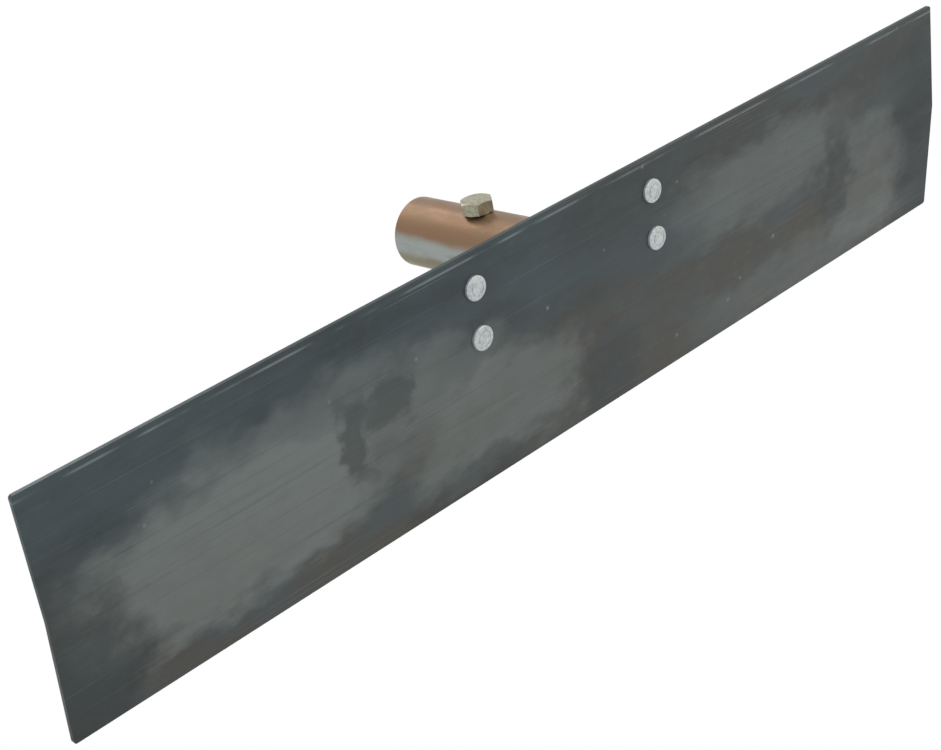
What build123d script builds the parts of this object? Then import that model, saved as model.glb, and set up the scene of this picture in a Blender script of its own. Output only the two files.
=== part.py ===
from build123d import *
from math import cos, radians, sin, sqrt, tan
import os

# A bent steel plow blade on a pinned tube socket, in millimetres.
# The origin is the centre of the socket's mouth. +Y runs along the socket and out of its mouth,
# +X runs along the blade, and +Z goes up from the cutting edge to the top edge.

os.makedirs("parts", exist_ok=True)

# Blade: one sheet with a shallow bend along its length, its hollow side towards the socket
blade_length = 30 * IN
blade_height = 6 * IN  # along the sheet, over the bend
blade_thickness = 2.66  # 12 gauge
blade_corner = 2.0
bend_angle = 6.5
bend_radius = 4.0  # inside the bend
bend_margin = 5.6  # flat left between the mounting plate and the bend

# Bolt pattern through the blade and the mounting plate
row_drop = 22.5  # upper row below the blade's top edge
row_spacing = 1.25 * IN
column_spacing = 154.0

# Mounting plate behind the upper panel
plate_thickness = 3 / 16 * IN
plate_edge = 16.0  # beyond the outer bolts
plate_corner = 6.0
plate_margin = 2.3  # above and below the weld

# Socket tube, bored for a push tube, and the weld that holds it
tube_outside = 1.75 * IN
push_tube = 1.5 * IN
push_clearance = 0.13  # all round the push tube, in the guide land at the mouth
relief_step = 0.35  # the bore behind the land is this much larger in radius
socket_reach = 132.0  # front face to mouth, along the socket
socket_pitch = 3.5  # the upper panel leans forward by this angle from square to the socket
socket_offset = 0.8  # socket below the middle of the bolt pattern, at the front face
mouth_chamfer = 0.4
weld_leg = 5.5
weld_crown = 0.8  # width of the weld's end on the tube's side

# Lock bolt across the socket
lock_size = 0.5 * IN
lock_depth = 59.0  # mouth to bolt
lock_hole_gap = 2.25  # the guide land ends this far short of the hole
lock_head_turn = 51.0
lock_nut_turn = 20.0

# Clearances
neck_clearance = 0.15  # square neck in its square hole, each side
shank_clearance = 0.4  # shank in a plain hole, all round
thread_clearance = 0.05  # screw thread in a nut, all round
seat_gap = 0.2  # between seated faces that can part or turn

# Carriage bolts, with their washers and nuts
carriage_size = 0.25 * IN
carriage_head = 15.2
carriage_rim = 1.7  # straight side of the head
carriage_crown = 1.1  # rise of the crown above the rim
carriage_edge = 0.6  # rounding of the rim
carriage_neck = 4.0  # depth of the square neck
ring_radius = 4.4  # pressed ring on the crown
ring_width = 0.9
ring_depth = 0.25
carriage_washer = 15.9
carriage_washer_thickness = 1.65
carriage_spring = 12.3
carriage_spring_thickness = 1.6
carriage_nut = 7 / 16 * IN
carriage_nut_height = 7 / 32 * IN
carriage_stand = 2.8  # thread past the nut

# Lock bolt, with its washers and nut
lock_head = 0.75 * IN
lock_head_height = 7.5
lock_washer_face = 0.4  # thickness of the round face under the head
lock_washer = 27.0
lock_washer_thickness = 2.4
lock_spring = 22.1
lock_spring_thickness = 3.1
lock_nut = 0.75 * IN
lock_nut_height = 7 / 16 * IN
lock_stand = 2.6  # thread past the nut

# Shared details of the fasteners
point_chamfer = 0.9
spring_slit = 1.2
spring_slit_slant = 25.0
hexagon_chamfer = 30.0

# Sizes that follow from the ones above
pitch = radians(socket_pitch)
lean = radians(bend_angle)
clamped = blade_thickness + plate_thickness
plate_height = tube_outside + 2 * weld_leg + 2 * plate_margin
plate_length = column_spacing + 2 * plate_edge
pattern_drop = row_drop + row_spacing / 2
socket_drop = pattern_drop + socket_offset
bend_drop = pattern_drop + plate_height / 2 + bend_margin
tube_radius = tube_outside / 2
land_radius = push_tube / 2 + push_clearance
lock_hole = lock_size / 2 + shank_clearance
land_length = lock_depth - lock_hole - lock_hole_gap
neck_hole = carriage_size + 2 * neck_clearance

# The upper panel's directions, and the point where the socket's axis meets its front face
back = Vector(0, cos(pitch), sin(pitch))
up = Vector(0, -sin(pitch), cos(pitch))
face_centre = Vector(0, -socket_reach, 0)


def panel_plane(across, drop, behind):
    """Plane parallel to the upper panel, facing forward, at a drop below the blade's top edge."""
    origin = face_centre + Vector(across, 0, 0) + up * (socket_drop - drop) + back * behind
    return Plane(origin=origin, x_dir=(1, 0, 0), z_dir=back * -1)


def stack_plane(base, away, distance=0.0):
    """Plane for a fastener stacked from base in the direction away."""
    return Plane(origin=base + away * distance, x_dir=(1, 0, 0), z_dir=away)


def turning_plane(base):
    """Plane through base's own axis, for profiles turned about it: x goes out, y goes along."""
    return Plane(origin=base.origin, x_dir=base.x_dir, z_dir=base.y_dir * -1)


def turned_hexagon(base, across_flats, height, turn, both_ends):
    """Hexagonal prism on base, chamfered by turning, added to the part being built."""
    corner = across_flats / sqrt(3)
    fall = (corner - across_flats / 2) * tan(radians(hexagon_chamfer))
    foot = [(across_flats / 2, 0), (corner, fall)] if both_ends else [(corner, 0)]
    with BuildPart(mode=Mode.PRIVATE) as turned:
        with BuildSketch(turning_plane(base)):
            with BuildLine():
                Polyline(
                    (0, 0), *foot, (corner, height - fall), (across_flats / 2, height), (0, height),
                    close=True,
                )
            make_face()
        revolve(axis=Axis(base.origin, base.z_dir))
        with BuildSketch(base):
            RegularPolygon(radius=corner, side_count=6, rotation=turn)
        extrude(amount=height, mode=Mode.INTERSECT)
    add(turned.part)


def hex_nut(base, across_flats, height, bore, turn):
    """Hexagon nut standing on base."""
    with BuildPart() as nut:
        turned_hexagon(base, across_flats, height, turn, both_ends=True)
        with BuildSketch(base):
            Circle(bore)
        extrude(amount=height, mode=Mode.SUBTRACT)
    return nut.part


def flat_washer(base, outside, bore, thickness):
    """Plain washer lying on base."""
    with BuildPart() as washer:
        with BuildSketch(base):
            Circle(outside / 2)
            Circle(bore, mode=Mode.SUBTRACT)
        extrude(amount=thickness)
    return washer.part


def spring_washer(base, outside, bore, thickness):
    """Split washer pressed flat on base, with a slanted slit."""
    slant = thickness * tan(radians(spring_slit_slant)) / 2
    with BuildPart() as washer:
        with BuildSketch(base):
            Circle(outside / 2)
            Circle(bore, mode=Mode.SUBTRACT)
        extrude(amount=thickness)
        with BuildSketch(turning_plane(base)):
            with BuildLine():
                Polyline(
                    (-slant - spring_slit / 2, 0), (-slant + spring_slit / 2, 0),
                    (slant + spring_slit / 2, thickness), (slant - spring_slit / 2, thickness),
                    close=True,
                )
            make_face()
        extrude(amount=outside, mode=Mode.SUBTRACT)
    return washer.part


def crown_height(radius):
    """Height of a carriage bolt's crown above its rim, at a radius."""
    ball = ((carriage_head / 2) ** 2 + carriage_crown**2) / (2 * carriage_crown)
    return sqrt(ball**2 - radius**2) - ball + carriage_crown


def carriage_bolt(seat):
    """Round-head bolt with a square neck; seat is the face under the head, facing the head."""
    head = carriage_head / 2
    stack = carriage_washer_thickness + carriage_spring_thickness + carriage_nut_height
    axis = Axis(seat.origin, seat.z_dir)
    with BuildPart() as bolt:
        with BuildSketch(turning_plane(seat)):
            with BuildLine():
                Polyline((0, carriage_rim + carriage_crown), (0, 0), (head, 0), (head, carriage_rim))
                ThreePointArc(
                    (head, carriage_rim),
                    (head / 2, carriage_rim + crown_height(head / 2)),
                    (0, carriage_rim + carriage_crown),
                )
            make_face()
        revolve(axis=axis)
        rim = bolt.edges().filter_by(lambda edge: edge.is_closed).sort_by(axis)[-1]
        fillet(rim, radius=carriage_edge)
        with BuildSketch(seat.offset(carriage_rim + crown_height(ring_radius) - ring_depth)):
            Circle(ring_radius + ring_width / 2)
            Circle(ring_radius - ring_width / 2, mode=Mode.SUBTRACT)
        extrude(amount=carriage_crown, mode=Mode.SUBTRACT)
        with BuildSketch(seat):
            Rectangle(carriage_size, carriage_size)
        extrude(amount=-carriage_neck)
        with BuildSketch(seat):
            Circle(carriage_size / 2)
        extrude(amount=-(clamped + stack + carriage_stand))
        point = bolt.edges().filter_by(GeomType.CIRCLE).sort_by(axis)[0]
        chamfer(point, length=point_chamfer)
    return bolt.part


def finish(part, name):
    """Label a piece and write it to its own file."""
    part.label = name
    export_step(part, f"parts/{name}.step")


corners = {
    f"{level}_{hand}": (side * column_spacing / 2, row_drop + row * row_spacing)
    for row, level in enumerate(("upper", "lower"))
    for side, hand in ((-1, "left"), (1, "right"))
}

# Blade: the front outline runs down the upper panel and round the bend; the back outline returns
top = socket_drop
bend = top - bend_drop
lower_panel = blade_height - bend_drop
inner_bend = bend + blade_thickness * tan(lean / 2)
front_foot = (lower_panel * sin(lean), bend - lower_panel * cos(lean))
back_foot = (front_foot[0] + blade_thickness * cos(lean), front_foot[1] + blade_thickness * sin(lean))
blade_end = Plane(origin=face_centre - Vector(blade_length / 2, 0, 0), x_dir=back, z_dir=(1, 0, 0))

with BuildPart() as blade:
    with BuildSketch(blade_end):
        with BuildLine():
            FilletPolyline((0, top), (0, bend), front_foot, radius=bend_radius + blade_thickness)
            Line(front_foot, back_foot)
            FilletPolyline(
                back_foot, (blade_thickness, inner_bend), (blade_thickness, top), radius=bend_radius,
            )
            Line((blade_thickness, top), (0, top))
        make_face()
    extrude(amount=blade_length)
    ends = blade.edges().group_by(Axis.X)
    fillet((ends[0] + ends[-1]).filter_by(lambda edge: edge.length < 1.01 * blade_thickness
                                          and edge.geom_type == GeomType.LINE), radius=blade_corner)
    for across, drop in corners.values():
        with BuildSketch(panel_plane(across, drop, 0)):
            Rectangle(neck_hole, neck_hole)
        extrude(amount=-blade_thickness, mode=Mode.SUBTRACT)
finish(blade.part, "blade")

with BuildPart() as mounting_plate:
    with BuildSketch(panel_plane(0, pattern_drop, blade_thickness)):
        RectangleRounded(plate_length, plate_height, plate_corner)
    extrude(amount=-plate_thickness)
    for across, drop in corners.values():
        with BuildSketch(panel_plane(across, drop, blade_thickness)):
            Rectangle(neck_hole, neck_hole)
        extrude(amount=-plate_thickness, mode=Mode.SUBTRACT)
finish(mounting_plate.part, "mounting_plate")

# The socket is cut at the plate's back face, where its axis meets the plate
plate_back = Plane(
    origin=face_centre + Vector(0, clamped / cos(pitch), 0), x_dir=(1, 0, 0), z_dir=back,
)
with BuildPart() as socket_tube:
    with BuildSketch(Plane.XZ):
        Circle(tube_radius)
    extrude(amount=socket_reach + tube_radius)
    mouth = socket_tube.edges().filter_by(GeomType.CIRCLE).sort_by(Axis.Y)[-1]
    chamfer(mouth, length=mouth_chamfer)
    with BuildSketch(Plane.XZ):
        Circle(land_radius)
    extrude(amount=land_length, mode=Mode.SUBTRACT)
    with BuildSketch(Plane.XZ.offset(land_length)):
        Circle(land_radius + relief_step)
    extrude(amount=socket_reach + tube_radius - land_length, mode=Mode.SUBTRACT)
    split(bisect_by=plate_back, keep=Keep.TOP)
    with BuildSketch(Plane.XY):
        with Locations((0, -lock_depth)):
            Circle(lock_hole)
    extrude(amount=tube_outside, both=True, mode=Mode.SUBTRACT)
finish(socket_tube.part, "socket_tube")

with BuildPart() as socket_weld:
    with BuildSketch(plate_back):
        Circle(tube_radius + weld_leg)
    with BuildSketch(plate_back.offset(weld_leg)):
        Circle(tube_radius + weld_crown)
    loft()
    with BuildSketch(Plane.XZ):
        Circle(tube_radius)
    extrude(amount=socket_reach + tube_radius, mode=Mode.SUBTRACT)
finish(socket_weld.part, "socket_weld")

for corner, (across, drop) in corners.items():
    finish(carriage_bolt(panel_plane(across, drop, 0)), f"carriage_bolt_{corner}")
    foot = panel_plane(across, drop, clamped).origin
    washer = stack_plane(foot, back)
    spring = stack_plane(foot, back, carriage_washer_thickness)
    nut = stack_plane(foot, back, carriage_washer_thickness + carriage_spring_thickness)
    plain_bore = carriage_size / 2 + shank_clearance
    finish(
        flat_washer(washer, carriage_washer, plain_bore, carriage_washer_thickness),
        f"flat_washer_{corner}",
    )
    finish(
        spring_washer(spring, carriage_spring, plain_bore, carriage_spring_thickness),
        f"spring_washer_{corner}",
    )
    finish(
        hex_nut(nut, carriage_nut, carriage_nut_height, carriage_size / 2 + thread_clearance, 0),
        f"nut_{corner}",
    )

# Lock bolt: its head seats on the top of the socket, its washers and nut hang below
above = Vector(0, 0, 1)
below = Vector(0, 0, -1)
crown = Vector(0, -lock_depth, tube_radius + seat_gap)
keel = Vector(0, -lock_depth, -tube_radius - seat_gap)
lock_stack = lock_washer_thickness + lock_spring_thickness
lock_length = tube_outside + lock_stack + lock_nut_height + lock_stand + 3 * seat_gap

with BuildPart() as lock_bolt:
    with BuildSketch(stack_plane(crown, above)):
        Circle(lock_head / 2)
    extrude(amount=lock_washer_face)
    turned_hexagon(
        stack_plane(crown, above, lock_washer_face), lock_head, lock_head_height, lock_head_turn,
        both_ends=False,
    )
    with BuildSketch(stack_plane(crown, below)):
        Circle(lock_size / 2)
    extrude(amount=lock_length)
    point = lock_bolt.edges().filter_by(GeomType.CIRCLE).sort_by(Axis.Z)[0]
    chamfer(point, length=point_chamfer)
finish(lock_bolt.part, "lock_bolt")

finish(
    flat_washer(stack_plane(keel, below), lock_washer, lock_hole, lock_washer_thickness),
    "lock_flat_washer",
)
finish(
    spring_washer(
        stack_plane(keel, below, lock_washer_thickness), lock_spring, lock_hole, lock_spring_thickness,
    ),
    "lock_spring_washer",
)
finish(
    hex_nut(
        stack_plane(keel, below, lock_stack + seat_gap), lock_nut, lock_nut_height,
        lock_size / 2 + thread_clearance, lock_nut_turn,
    ),
    "lock_nut",
)
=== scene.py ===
"""Looks of the bent steel plow blade on its pinned socket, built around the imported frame."""

import logging
import math
from dataclasses import dataclass
from enum import Enum

import bpy
from mathutils import Matrix, Vector

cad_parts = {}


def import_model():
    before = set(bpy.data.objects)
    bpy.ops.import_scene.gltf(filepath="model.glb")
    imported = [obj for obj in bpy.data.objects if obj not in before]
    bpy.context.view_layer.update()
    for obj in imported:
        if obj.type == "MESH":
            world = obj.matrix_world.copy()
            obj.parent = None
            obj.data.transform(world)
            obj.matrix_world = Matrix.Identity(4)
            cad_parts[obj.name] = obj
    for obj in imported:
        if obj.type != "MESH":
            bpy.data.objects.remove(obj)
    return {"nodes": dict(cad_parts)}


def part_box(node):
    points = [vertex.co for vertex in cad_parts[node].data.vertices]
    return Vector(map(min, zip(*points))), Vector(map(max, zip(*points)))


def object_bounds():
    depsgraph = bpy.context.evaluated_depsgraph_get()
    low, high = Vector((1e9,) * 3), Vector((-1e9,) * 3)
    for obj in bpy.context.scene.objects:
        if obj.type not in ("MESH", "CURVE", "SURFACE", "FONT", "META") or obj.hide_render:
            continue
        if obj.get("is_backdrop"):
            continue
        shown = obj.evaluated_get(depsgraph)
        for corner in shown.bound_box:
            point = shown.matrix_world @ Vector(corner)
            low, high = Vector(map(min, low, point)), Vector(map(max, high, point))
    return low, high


LOG = logging.getLogger("plow_blade")
SMALLEST_CLIP = 0.01


class Corner(Enum):
    """Corners of the mounting plate, one carriage bolt at each."""

    UPPER_LEFT = "upper_left"
    UPPER_RIGHT = "upper_right"
    LOWER_LEFT = "lower_left"
    LOWER_RIGHT = "lower_right"


class WhiteNode(Enum):
    """Shader that shows plain white, for the world or for a surface."""

    WORLD = "ShaderNodeBackground"
    SURFACE = "ShaderNodeEmission"


@dataclass(frozen=True)
class Tint:
    """A colour written as it is seen, in 0 to 255 steps."""

    red: float
    green: float
    blue: float

    def linear(self) -> tuple[float, float, float, float]:
        """Return the colour as linear light with full alpha."""
        steps = (value / 255 for value in (self.red, self.green, self.blue))
        return (*(v / 12.92 if v <= 0.04045 else ((v + 0.055) / 1.055) ** 2.4 for v in steps), 1.0)


class Sheet:
    """A material's node sheet, with short calls for the nodes that the finishes share."""

    def __init__(self, name: str, metallic: float, roughness: float) -> None:
        """Start a material with one Principled shader.

        Args:
            name: Name of the new material.
            metallic: Metal share, the same all over.
            roughness: Roughness where nothing is linked.
        """
        self.material = bpy.data.materials.new(name)
        self.material.use_nodes = True
        self.tree = self.material.node_tree
        self.shader = self.tree.nodes["Principled BSDF"]
        self.shader.inputs["Metallic"].default_value = metallic
        self.shader.inputs["Roughness"].default_value = roughness
        coordinates = self.tree.nodes.new("ShaderNodeTexCoord")
        self.place = coordinates.outputs["Object"]

    def link(self, source: bpy.types.NodeSocket, target: bpy.types.NodeSocket) -> None:
        """Join an output to an input."""
        self.tree.links.new(source, target)

    def _fill(self, socket: bpy.types.NodeSocket, value: object) -> None:
        """Link a socket, or set its value.

        Args:
            socket: The input to fill.
            value: An output to link, or a plain value.
        """
        if isinstance(value, bpy.types.NodeSocket):
            self.link(value, socket)
        else:
            socket.default_value = value

    def math(self, operation: str, first: object, second: object = 0.0) -> bpy.types.NodeSocket:
        """Return the result of a Math node.

        Args:
            operation: The node's operation.
            first: A number or an output.
            second: A number or an output.

        Returns:
            The node's value output.
        """
        node = self.tree.nodes.new("ShaderNodeMath")
        node.operation = operation
        self._fill(node.inputs[0], first)
        self._fill(node.inputs[1], second)
        return node.outputs[0]

    def remap(
        self, value: bpy.types.NodeSocket, low: float, high: float, start: float = 0.0, end: float = 1.0
    ) -> bpy.types.NodeSocket:
        """Return value mapped smoothly from low..high to start..end and held there.

        Args:
            value: The output to map.
            low: Where the result is start.
            high: Where the result is end.
            start: Result at low.
            end: Result at high.

        Returns:
            The mapped output.
        """
        node = self.tree.nodes.new("ShaderNodeMapRange")
        node.interpolation_type = "SMOOTHSTEP"
        for socket, number in zip(node.inputs[1:5], (low, high, start, end)):
            socket.default_value = number
        self.link(value, node.inputs[0])
        return node.outputs[0]

    def scaled(self, scale: tuple[float, float, float], turn: float = 0.0) -> bpy.types.NodeSocket:
        """Return the object place, turned about Y and stretched, for grain along an axis.

        Args:
            scale: Stretch along x, y and z.
            turn: Turn about Y in degrees.

        Returns:
            The mapped place.
        """
        node = self.tree.nodes.new("ShaderNodeMapping")
        node.inputs["Scale"].default_value = scale
        node.inputs["Rotation"].default_value = (0.0, math.radians(turn), 0.0)
        self.link(self.place, node.inputs["Vector"])
        return node.outputs[0]

    def noise(
        self, scale: float, detail: float = 4.0, place: bpy.types.NodeSocket | None = None,
        blend: float = 0.5,
    ) -> bpy.types.NodeSocket:
        """Return a noise value.

        Args:
            scale: Features per metre.
            detail: Number of finer layers.
            place: Where to read it; the object place if None.
            blend: Strength of the finer layers.

        Returns:
            The noise, about 0.5 on average.
        """
        node = self.tree.nodes.new("ShaderNodeTexNoise")
        node.inputs["Scale"].default_value = scale
        node.inputs["Detail"].default_value = detail
        node.inputs["Roughness"].default_value = blend
        self.link(place or self.place, node.inputs["Vector"])
        return node.outputs[0]

    def spots(self, scale: float, low: float, high: float) -> bpy.types.NodeSocket:
        """Return small scattered spots.

        Args:
            scale: Spots per metre.
            low: Distance within which a spot is full.
            high: Distance at which a spot has faded out.

        Returns:
            The spots, 1 at their middle.
        """
        node = self.tree.nodes.new("ShaderNodeTexVoronoi")
        node.inputs["Scale"].default_value = scale
        self.link(self.place, node.inputs["Vector"])
        return self.remap(node.outputs["Distance"], high, low)

    def mix(self, factor: object, first: object, second: object, mode: str = "MIX") -> bpy.types.NodeSocket:
        """Return two colours mixed by factor.

        Args:
            factor: A number or an output.
            first: A Tint or an output.
            second: A Tint or an output.
            mode: The node's blend type.

        Returns:
            The mixed colour.
        """
        node = self.tree.nodes.new("ShaderNodeMix")
        node.data_type = "RGBA"
        node.blend_type = mode
        self._fill(node.inputs[0], factor)
        for socket, colour in ((node.inputs[6], first), (node.inputs[7], second)):
            self._fill(socket, colour.linear() if isinstance(colour, Tint) else colour)
        return node.outputs[2]

    def bump(self, height: bpy.types.NodeSocket, strength: float, distance: float) -> None:
        """Add a bump to the shader, on top of any before it.

        Args:
            height: The output that gives the height.
            strength: Strength of the bump.
            distance: Its depth in metres.
        """
        node = self.tree.nodes.new("ShaderNodeBump")
        node.inputs["Strength"].default_value = strength
        node.inputs["Distance"].default_value = distance
        self.link(height, node.inputs["Height"])
        normal = self.shader.inputs["Normal"]
        if normal.is_linked:
            self.link(normal.links[0].from_socket, node.inputs["Normal"])
        self.link(node.outputs[0], normal)

    def parts(self) -> tuple[bpy.types.NodeSocket, ...]:
        """Return the x, y and z of the object place."""
        node = self.tree.nodes.new("ShaderNodeSeparateXYZ")
        self.link(self.place, node.inputs[0])
        return tuple(node.outputs)

    def colour(self, value: bpy.types.NodeSocket) -> None:
        """Send a colour to the shader."""
        self.link(value, self.shader.inputs["Base Color"])

    def roughness(self, value: bpy.types.NodeSocket) -> None:
        """Send a roughness to the shader."""
        self.link(value, self.shader.inputs["Roughness"])


@dataclass(frozen=True)
class Patch:
    """A stain or a bare place on the blade, an oval with a ragged edge."""

    across: float
    height: float
    half_length: float
    half_height: float
    edge: float
    strength: float


@dataclass(frozen=True)
class MillScale:
    """Raw hot-rolled sheet: dark blue scale with bare, paler and warmer places."""

    scale: Tint = Tint(68, 78, 81)
    deep: Tint = Tint(52, 58, 59)
    warm: Tint = Tint(80, 79, 74)
    bare: Tint = Tint(111, 117, 114)
    scratch: Tint = Tint(150, 158, 158)
    oval_power: float = 2.4
    ragged_reach: float = 0.085
    wander_reach: float = 0.045
    rolled_line: float = 0.0352
    pale_places: tuple[Patch, ...] = (
        Patch(-0.262, -0.050, 0.105, 0.040, 0.30, 0.85),
        Patch(-0.215, -0.020, 0.090, 0.030, 0.50, 0.55),
        Patch(-0.070, -0.070, 0.072, 0.036, 0.30, 0.60),
        Patch(-0.110, -0.030, 0.050, 0.026, 0.60, 0.45),
        Patch(0.190, -0.014, 0.085, 0.026, 0.60, 0.55),
        Patch(0.302, -0.060, 0.050, 0.042, 0.25, 0.42),
        Patch(0.250, -0.096, 0.120, 0.018, 0.60, 0.35),
    )
    dark_places: tuple[Patch, ...] = (
        Patch(-0.176, -0.036, 0.014, 0.028, 0.40, 0.60),
        Patch(-0.147, -0.022, 0.016, 0.016, 0.40, 0.55),
        Patch(0.262, -0.050, 0.018, 0.036, 0.50, 0.60),
        Patch(0.375, -0.060, 0.042, 0.075, 0.60, 0.85),
        Patch(-0.372, -0.080, 0.034, 0.050, 0.45, 0.70),
        Patch(-0.095, -0.106, 0.050, 0.016, 0.60, 0.55),
        Patch(0.030, -0.092, 0.028, 0.034, 0.45, 0.45),
    )

    def _mask(
        self, sheet: Sheet, patch: Patch, place: tuple[bpy.types.NodeSocket, ...]
    ) -> bpy.types.NodeSocket:
        """Return the share of a patch at each point.

        Args:
            sheet: The sheet to work on.
            patch: The patch.
            place: The ragged x and z to read it at.

        Returns:
            The share, up to the patch's strength.
        """
        across = sheet.math("DIVIDE", sheet.math("SUBTRACT", place[0], patch.across), patch.half_length)
        height = sheet.math("DIVIDE", sheet.math("SUBTRACT", place[1], patch.height), patch.half_height)
        reach = sheet.math("SQRT", sheet.math(
            "ADD",
            sheet.math("POWER", sheet.math("ABSOLUTE", across), self.oval_power),
            sheet.math("POWER", sheet.math("ABSOLUTE", height), self.oval_power),
        ))
        return sheet.remap(reach, 1 + patch.edge, 1 - patch.edge, 0.0, patch.strength)

    def dress(self) -> bpy.types.Material:
        """Return the blade's material.

        Returns:
            The new material.
        """
        sheet = Sheet("mill_scale", metallic=0.72, roughness=0.5)
        x, _, z = sheet.parts()
        drift = sheet.noise(26, 6, blend=0.6)
        ragged = sheet.math("MULTIPLY", sheet.math("SUBTRACT", drift, 0.5), self.ragged_reach)
        rise = sheet.noise(41, 5, sheet.scaled((1, 1, 1.7)))
        wander = sheet.math("MULTIPLY", sheet.math("SUBTRACT", rise, 0.5), self.wander_reach)
        place = (sheet.math("ADD", x, ragged), sheet.math("ADD", z, wander))
        cloud = sheet.noise(9, 5, sheet.scaled((1.0, 1.0, 3.2)), 0.6)
        low_level = sheet.math("ADD", z, sheet.math("MULTIPLY", wander, 1.5))
        lower = sheet.remap(low_level, 0.008, -0.062)
        right = sheet.remap(x, -0.12, 0.22)
        warmth = sheet.math("MULTIPLY", sheet.math("MAXIMUM", lower, sheet.math("MULTIPLY", right, 0.55)),
                            sheet.remap(cloud, 0.25, 0.62))
        colour = sheet.mix(sheet.remap(cloud, 0.35, 0.7, 0.0, 0.55), self.scale, self.deep)
        colour = sheet.mix(warmth, colour, self.warm)
        for patch in self.pale_places:
            colour = sheet.mix(self._mask(sheet, patch, place), colour, self.bare)
        for patch in self.dark_places:
            colour = sheet.mix(self._mask(sheet, patch, place), colour, self.deep)
        streaks = sheet.noise(10, 3, sheet.scaled((0.5, 1.0, 55.0), 1.0), 0.7)
        colour = sheet.mix(sheet.remap(streaks, 0.52, 0.78, 0.0, 0.30), colour, self.deep)
        fine = sheet.noise(60, 6, sheet.scaled((1.0, 1.0, 1.5)), 0.7)
        colour = sheet.mix(sheet.remap(fine, 0.5, 0.75, 0.0, 0.16), colour, self.bare)
        hair = sheet.noise(14, 2, sheet.scaled((0.35, 1.0, 150.0), -1.2), 0.5)
        near_top = sheet.remap(z, 0.024, 0.036)
        scratches = sheet.math("MULTIPLY", sheet.remap(hair, 0.66, 0.72),
                               sheet.math("ADD", sheet.math("MULTIPLY", near_top, 0.5), 0.14))
        colour = sheet.mix(scratches, colour, self.scratch)
        off_line = sheet.math("ABSOLUTE", sheet.math("SUBTRACT", z, self.rolled_line))
        broken = sheet.noise(24, 3, sheet.scaled((1.0, 1.0, 0.1)))
        rolled = sheet.math("MULTIPLY", sheet.remap(off_line, 0.0011, 0.0002),
                            sheet.remap(broken, 0.38, 0.62, 0.0, 0.42))
        colour = sheet.mix(rolled, colour, self.scratch)
        colour = sheet.mix(sheet.spots(34, 0.02, 0.07), colour, self.bare)
        sheet.colour(colour)
        sheet.roughness(sheet.remap(sheet.math("ADD", fine, cloud), 0.75, 1.25, 0.40, 0.58))
        sheet.bump(fine, 0.10, 0.0006)
        sheet.bump(streaks, 0.12, 0.0004)
        sheet.bump(scratches, 0.25, -0.0003)
        return sheet.material


@dataclass(frozen=True)
class YellowZinc:
    """Zinc plate with a yellow passivated tint, banded by height round the tube: brown on top, a painted
    highlight of silver across the middle, olive below and painted shade in dark brown underneath.
    """

    radius: float
    brown: Tint = Tint(134, 106, 82)
    # Silver: the zinc's own small speckles, and also the painted highlight band across the middle of the
    # tube.
    silver_speckle_and_highlight: Tint = Tint(150, 156, 152)
    olive: Tint = Tint(122, 116, 88)
    # Painted shade for the underside of the tube.
    painted_underside_shade: Tint = Tint(66, 44, 34)

    def dress(self) -> bpy.types.Material:
        """Return the socket's and the plate's material.

        Returns:
            The new material.
        """
        sheet = Sheet("yellow_zinc_with_painted_light", metallic=0.85, roughness=0.38)
        z = sheet.parts()[2]
        cloud = sheet.noise(38, 5, sheet.scaled((1.0, 0.45, 1.0)), 0.6)
        drift = sheet.math("MULTIPLY", sheet.math("SUBTRACT", cloud, 0.5), 0.5)
        level = sheet.math("ADD", sheet.math("DIVIDE", z, self.radius), drift)
        # Painted highlight: a silver band across the middle height of the tube and plate, below the brown
        # tint of the top.
        colour = sheet.mix(sheet.remap(level, 0.42, 0.10), self.brown, self.silver_speckle_and_highlight)
        colour = sheet.mix(sheet.remap(level, -0.12, -0.42), colour, self.olive)
        # Painted shade: dark brown on the underside of the tube, and on the lowest part of the plate.
        colour = sheet.mix(sheet.remap(level, -0.72, -1.02), colour, self.painted_underside_shade)
        stain = sheet.noise(150, 5, sheet.scaled((1.0, 0.3, 1.0)), 0.65)
        colour = sheet.mix(sheet.remap(stain, 0.5, 0.72, 0.0, 0.35), colour, self.olive)
        # Small silver speckles of the zinc itself, in the same colour as the painted highlight.
        colour = sheet.mix(sheet.remap(sheet.noise(420, 3), 0.62, 0.8, 0.0, 0.35), colour, self.silver_speckle_and_highlight)
        sheet.colour(colour)
        grain = sheet.noise(900, 3, sheet.scaled((1.0, 0.12, 1.0)), 0.6)
        sheet.roughness(sheet.remap(stain, 0.3, 0.7, 0.32, 0.48))
        sheet.bump(grain, 0.10, 0.0002)
        sheet.bump(stain, 0.08, 0.0004)
        return sheet.material


@dataclass(frozen=True)
class ZincSkin:
    """Dull zinc on a fastener, with spangle, faint stain and worn high spots."""

    name: str
    pale: Tint
    stain: Tint
    roughness: float = 0.5

    def dress(self) -> bpy.types.Material:
        """Return the fastener's material.

        Returns:
            The new material.
        """
        sheet = Sheet(self.name, metallic=0.65, roughness=self.roughness)
        spangle = sheet.noise(520, 5, None, 0.6)
        patches = sheet.noise(150, 4, None, 0.6)
        colour = sheet.mix(sheet.remap(spangle, 0.35, 0.68, 0.0, 0.6), self.pale, self.stain)
        colour = sheet.mix(sheet.remap(patches, 0.5, 0.7, 0.0, 0.5), colour, self.stain)
        sheet.colour(colour)
        sheet.roughness(sheet.remap(spangle, 0.3, 0.7, self.roughness - 0.1, self.roughness + 0.08))
        sheet.bump(spangle, 0.16, 0.0003)
        return sheet.material


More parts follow.
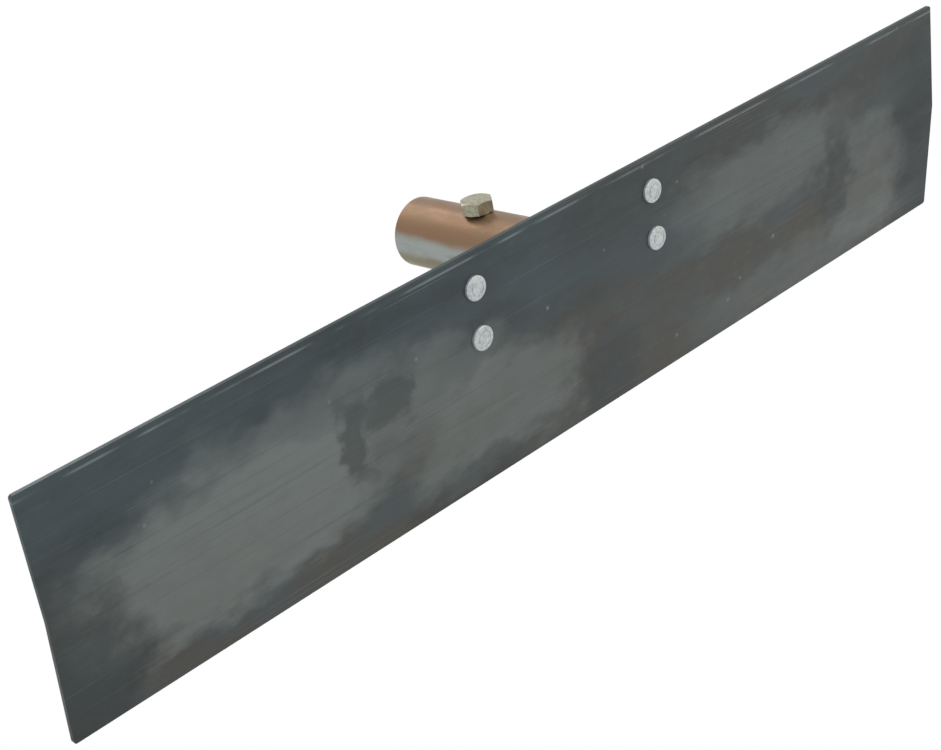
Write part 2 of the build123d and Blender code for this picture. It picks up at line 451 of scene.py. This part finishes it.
@dataclass(frozen=True)
class SubAssembly:
    """Pieces that belong together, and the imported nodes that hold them."""

    nodes: dict[str, bpy.types.Object]

    def _cover(self, names: tuple[str, ...], material: bpy.types.Material) -> None:
        """Give nodes a finish.

        Args:
            names: The nodes.
            material: Their finish.
        """
        for name in names:
            piece = self.nodes[name]
            for slot in piece.material_slots:
                slot.link = "OBJECT"
                slot.material = material
            if not piece.material_slots:
                piece.data.materials.append(material)
            LOG.info("dressed %s with %s", name, material.name)


@dataclass(frozen=True)
class Blade(SubAssembly):
    """The bent steel sheet."""

    finish: MillScale = MillScale()

    def dress(self) -> None:
        """Dress the sheet in mill scale."""
        self._cover(("blade",), self.finish.dress())


@dataclass(frozen=True)
class Socket(SubAssembly):
    """The tube, the plate behind the blade and the weld between them."""

    radius: float
    weld: ZincSkin = ZincSkin("weld_skin", Tint(128, 112, 86), Tint(84, 70, 54), 0.45)

    def dress(self) -> None:
        """Dress the tube and the plate in yellow zinc with a painted highlight and painted shade, and the
        weld.
        """
        self._cover(("socket_tube", "mounting_plate"), YellowZinc(radius=self.radius).dress())
        self._cover(("socket_weld",), self.weld.dress())


@dataclass(frozen=True)
class CarriageFasteners(SubAssembly):
    """Four carriage bolts with their washers and nuts."""

    kinds: tuple[str, ...] = ("carriage_bolt", "flat_washer", "spring_washer", "nut")
    finish: ZincSkin = ZincSkin("pale_zinc_skin", Tint(196, 202, 200), Tint(150, 158, 158))

    def dress(self) -> None:
        """Dress all four sets in pale zinc."""
        names = tuple(f"{kind}_{corner.value}" for kind in self.kinds for corner in Corner)
        self._cover(names, self.finish.dress())


@dataclass(frozen=True)
class LockFastener(SubAssembly):
    """The bolt across the socket with its washers and nut."""

    pieces: tuple[str, ...] = ("lock_bolt", "lock_flat_washer", "lock_spring_washer", "lock_nut")
    finish: ZincSkin = ZincSkin("lock_zinc_skin", Tint(172, 168, 146), Tint(122, 116, 96), 0.42)

    def dress(self) -> None:
        """Dress the set in yellowish zinc."""
        self._cover(self.pieces, self.finish.dress())


@dataclass
class Studio:
    """Plain pale floor, white surround, soft lamps and the camera."""

    floor_drop: float = 0.30
    floor_size: float = 40.0
    azimuth: float = 39.57
    elevation: float = 25.04
    roll: float = 11.18
    distance: float = 1.0762
    lens: float = 72.0
    aim: tuple[float, float, float] = (-0.0915, -0.132, -0.0322)
    lowest: float = 0.0

    def white_to_camera(
        self, tree: bpy.types.NodeTree, plain: bpy.types.NodeSocket, target: bpy.types.NodeSocket,
        kind: WhiteNode,
    ) -> None:
        """Show strength 1 white to camera, glossy and transmission rays.

        Args:
            tree: The node tree to work in.
            plain: The shader that all other rays meet.
            target: The output node's input.
            kind: Shader that gives the white.
        """
        path = tree.nodes.new("ShaderNodeLightPath")
        seen = path.outputs["Is Camera Ray"]
        for ray in ("Is Glossy Ray", "Is Transmission Ray"):
            either = tree.nodes.new("ShaderNodeMath")
            either.operation = "MAXIMUM"
            tree.links.new(seen, either.inputs[0])
            tree.links.new(path.outputs[ray], either.inputs[1])
            seen = either.outputs[0]
        white = tree.nodes.new(kind.value)
        white.inputs["Color"].default_value = (1, 1, 1, 1)
        choose = tree.nodes.new("ShaderNodeMixShader")
        tree.links.new(seen, choose.inputs[0])
        tree.links.new(plain, choose.inputs[1])
        tree.links.new(white.outputs[0], choose.inputs[2])
        tree.links.new(choose.outputs[0], target)

    def surround(self) -> None:
        """Make the world."""
        world = bpy.data.worlds.new("surround")
        bpy.context.scene.world = world
        world.use_nodes = True
        tree = world.node_tree
        plain = tree.nodes["Background"]
        plain.inputs["Color"].default_value = (0.92, 0.95, 1.0, 1.0)
        plain.inputs["Strength"].default_value = 0.55
        surface = tree.nodes["World Output"].inputs["Surface"]
        self.white_to_camera(tree, plain.outputs[0], surface, WhiteNode.WORLD)

    def floor(self) -> None:
        """Make the pale floor below the hanging part."""
        half = self.floor_size / 2
        mesh = bpy.data.meshes.new("floor")
        level = self.lowest - self.floor_drop
        signs = ((-1, -1), (1, -1), (1, 1), (-1, 1))
        mesh.from_pydata([(half * a, half * b, level) for a, b in signs], [], [(0, 1, 2, 3)])
        floor = bpy.data.objects.new("floor", mesh)
        bpy.context.scene.collection.objects.link(floor)
        material = bpy.data.materials.new("floor")
        material.use_nodes = True
        shader = material.node_tree.nodes["Principled BSDF"]
        shader.inputs["Base Color"].default_value = (0.96, 0.96, 0.96, 1)
        shader.inputs["Roughness"].default_value = 0.9
        tree = material.node_tree
        surface = tree.nodes["Material Output"].inputs["Surface"]
        self.white_to_camera(tree, shader.outputs[0], surface, WhiteNode.SURFACE)
        mesh.materials.append(material)
        floor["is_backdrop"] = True

    def lamp(self, name: str, place: tuple[float, float, float], size: float, power: float,
             colour: tuple[float, float, float]) -> None:
        """Make a soft square lamp that faces the part.

        Args:
            name: Name of the lamp.
            place: Where it stands, in metres.
            size: Side of the square.
            power: Power in watts.
            colour: Colour of its light.
        """
        data = bpy.data.lights.new(name, "AREA")
        data.size = size
        data.energy = power
        data.color = colour
        lamp = bpy.data.objects.new(name, data)
        lamp.location = place
        lamp.rotation_euler = (Vector(self.aim) - lamp.location).to_track_quat("-Z", "Y").to_euler()
        bpy.context.scene.collection.objects.link(lamp)

    def camera(self) -> None:
        """Make the camera: it looks at the aim point, rolled about its own line of sight."""
        data = bpy.data.cameras.new("camera")
        data.lens = self.lens
        camera = bpy.data.objects.new("camera", data)
        turn, tilt = math.radians(self.azimuth), math.radians(self.elevation)
        ahead = Vector((math.sin(turn) * math.cos(tilt), math.cos(turn) * math.cos(tilt), -math.sin(tilt)))
        level = ahead.to_track_quat("-Z", "Y").to_matrix()
        spin = Matrix.Rotation(math.radians(-self.roll), 3, "Z")
        place = Vector(self.aim) - ahead * self.distance
        camera.matrix_world = Matrix.Translation(place) @ (level @ spin).to_4x4()
        bpy.context.scene.collection.objects.link(camera)
        bpy.context.scene.camera = camera
        data.clip_start = SMALLEST_CLIP

    def build(self) -> None:
        """Make the whole studio."""
        self.camera()
        self.surround()
        self.floor()
        self.lamp("key", (1.2, -1.6, 1.5), 1.4, 26.0, (1.0, 0.98, 0.95))
        self.lamp("left_fill", (-1.8, -0.6, 0.9), 1.2, 9.0, (0.92, 0.96, 1.0))
        self.lamp("back", (0.2, 1.8, 1.1), 1.2, 10.0, (1.0, 1.0, 1.0))
        LOG.info("studio ready")


def main() -> None:
    """Build the looks in order."""
    logging.basicConfig(level=logging.INFO, format="%(message)s")
    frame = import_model()
    cad_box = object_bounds()
    bpy.context.scene.view_settings.view_transform = "Standard"
    low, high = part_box("socket_tube")
    nodes = frame["nodes"]
    Blade(nodes).dress()
    Socket(nodes, radius=(high[2] - low[2]) / 2).dress()
    CarriageFasteners(nodes).dress()
    LockFastener(nodes).dress()
    Studio(lowest=cad_box[0][2]).build()


if __name__ == "__main__":
    main()
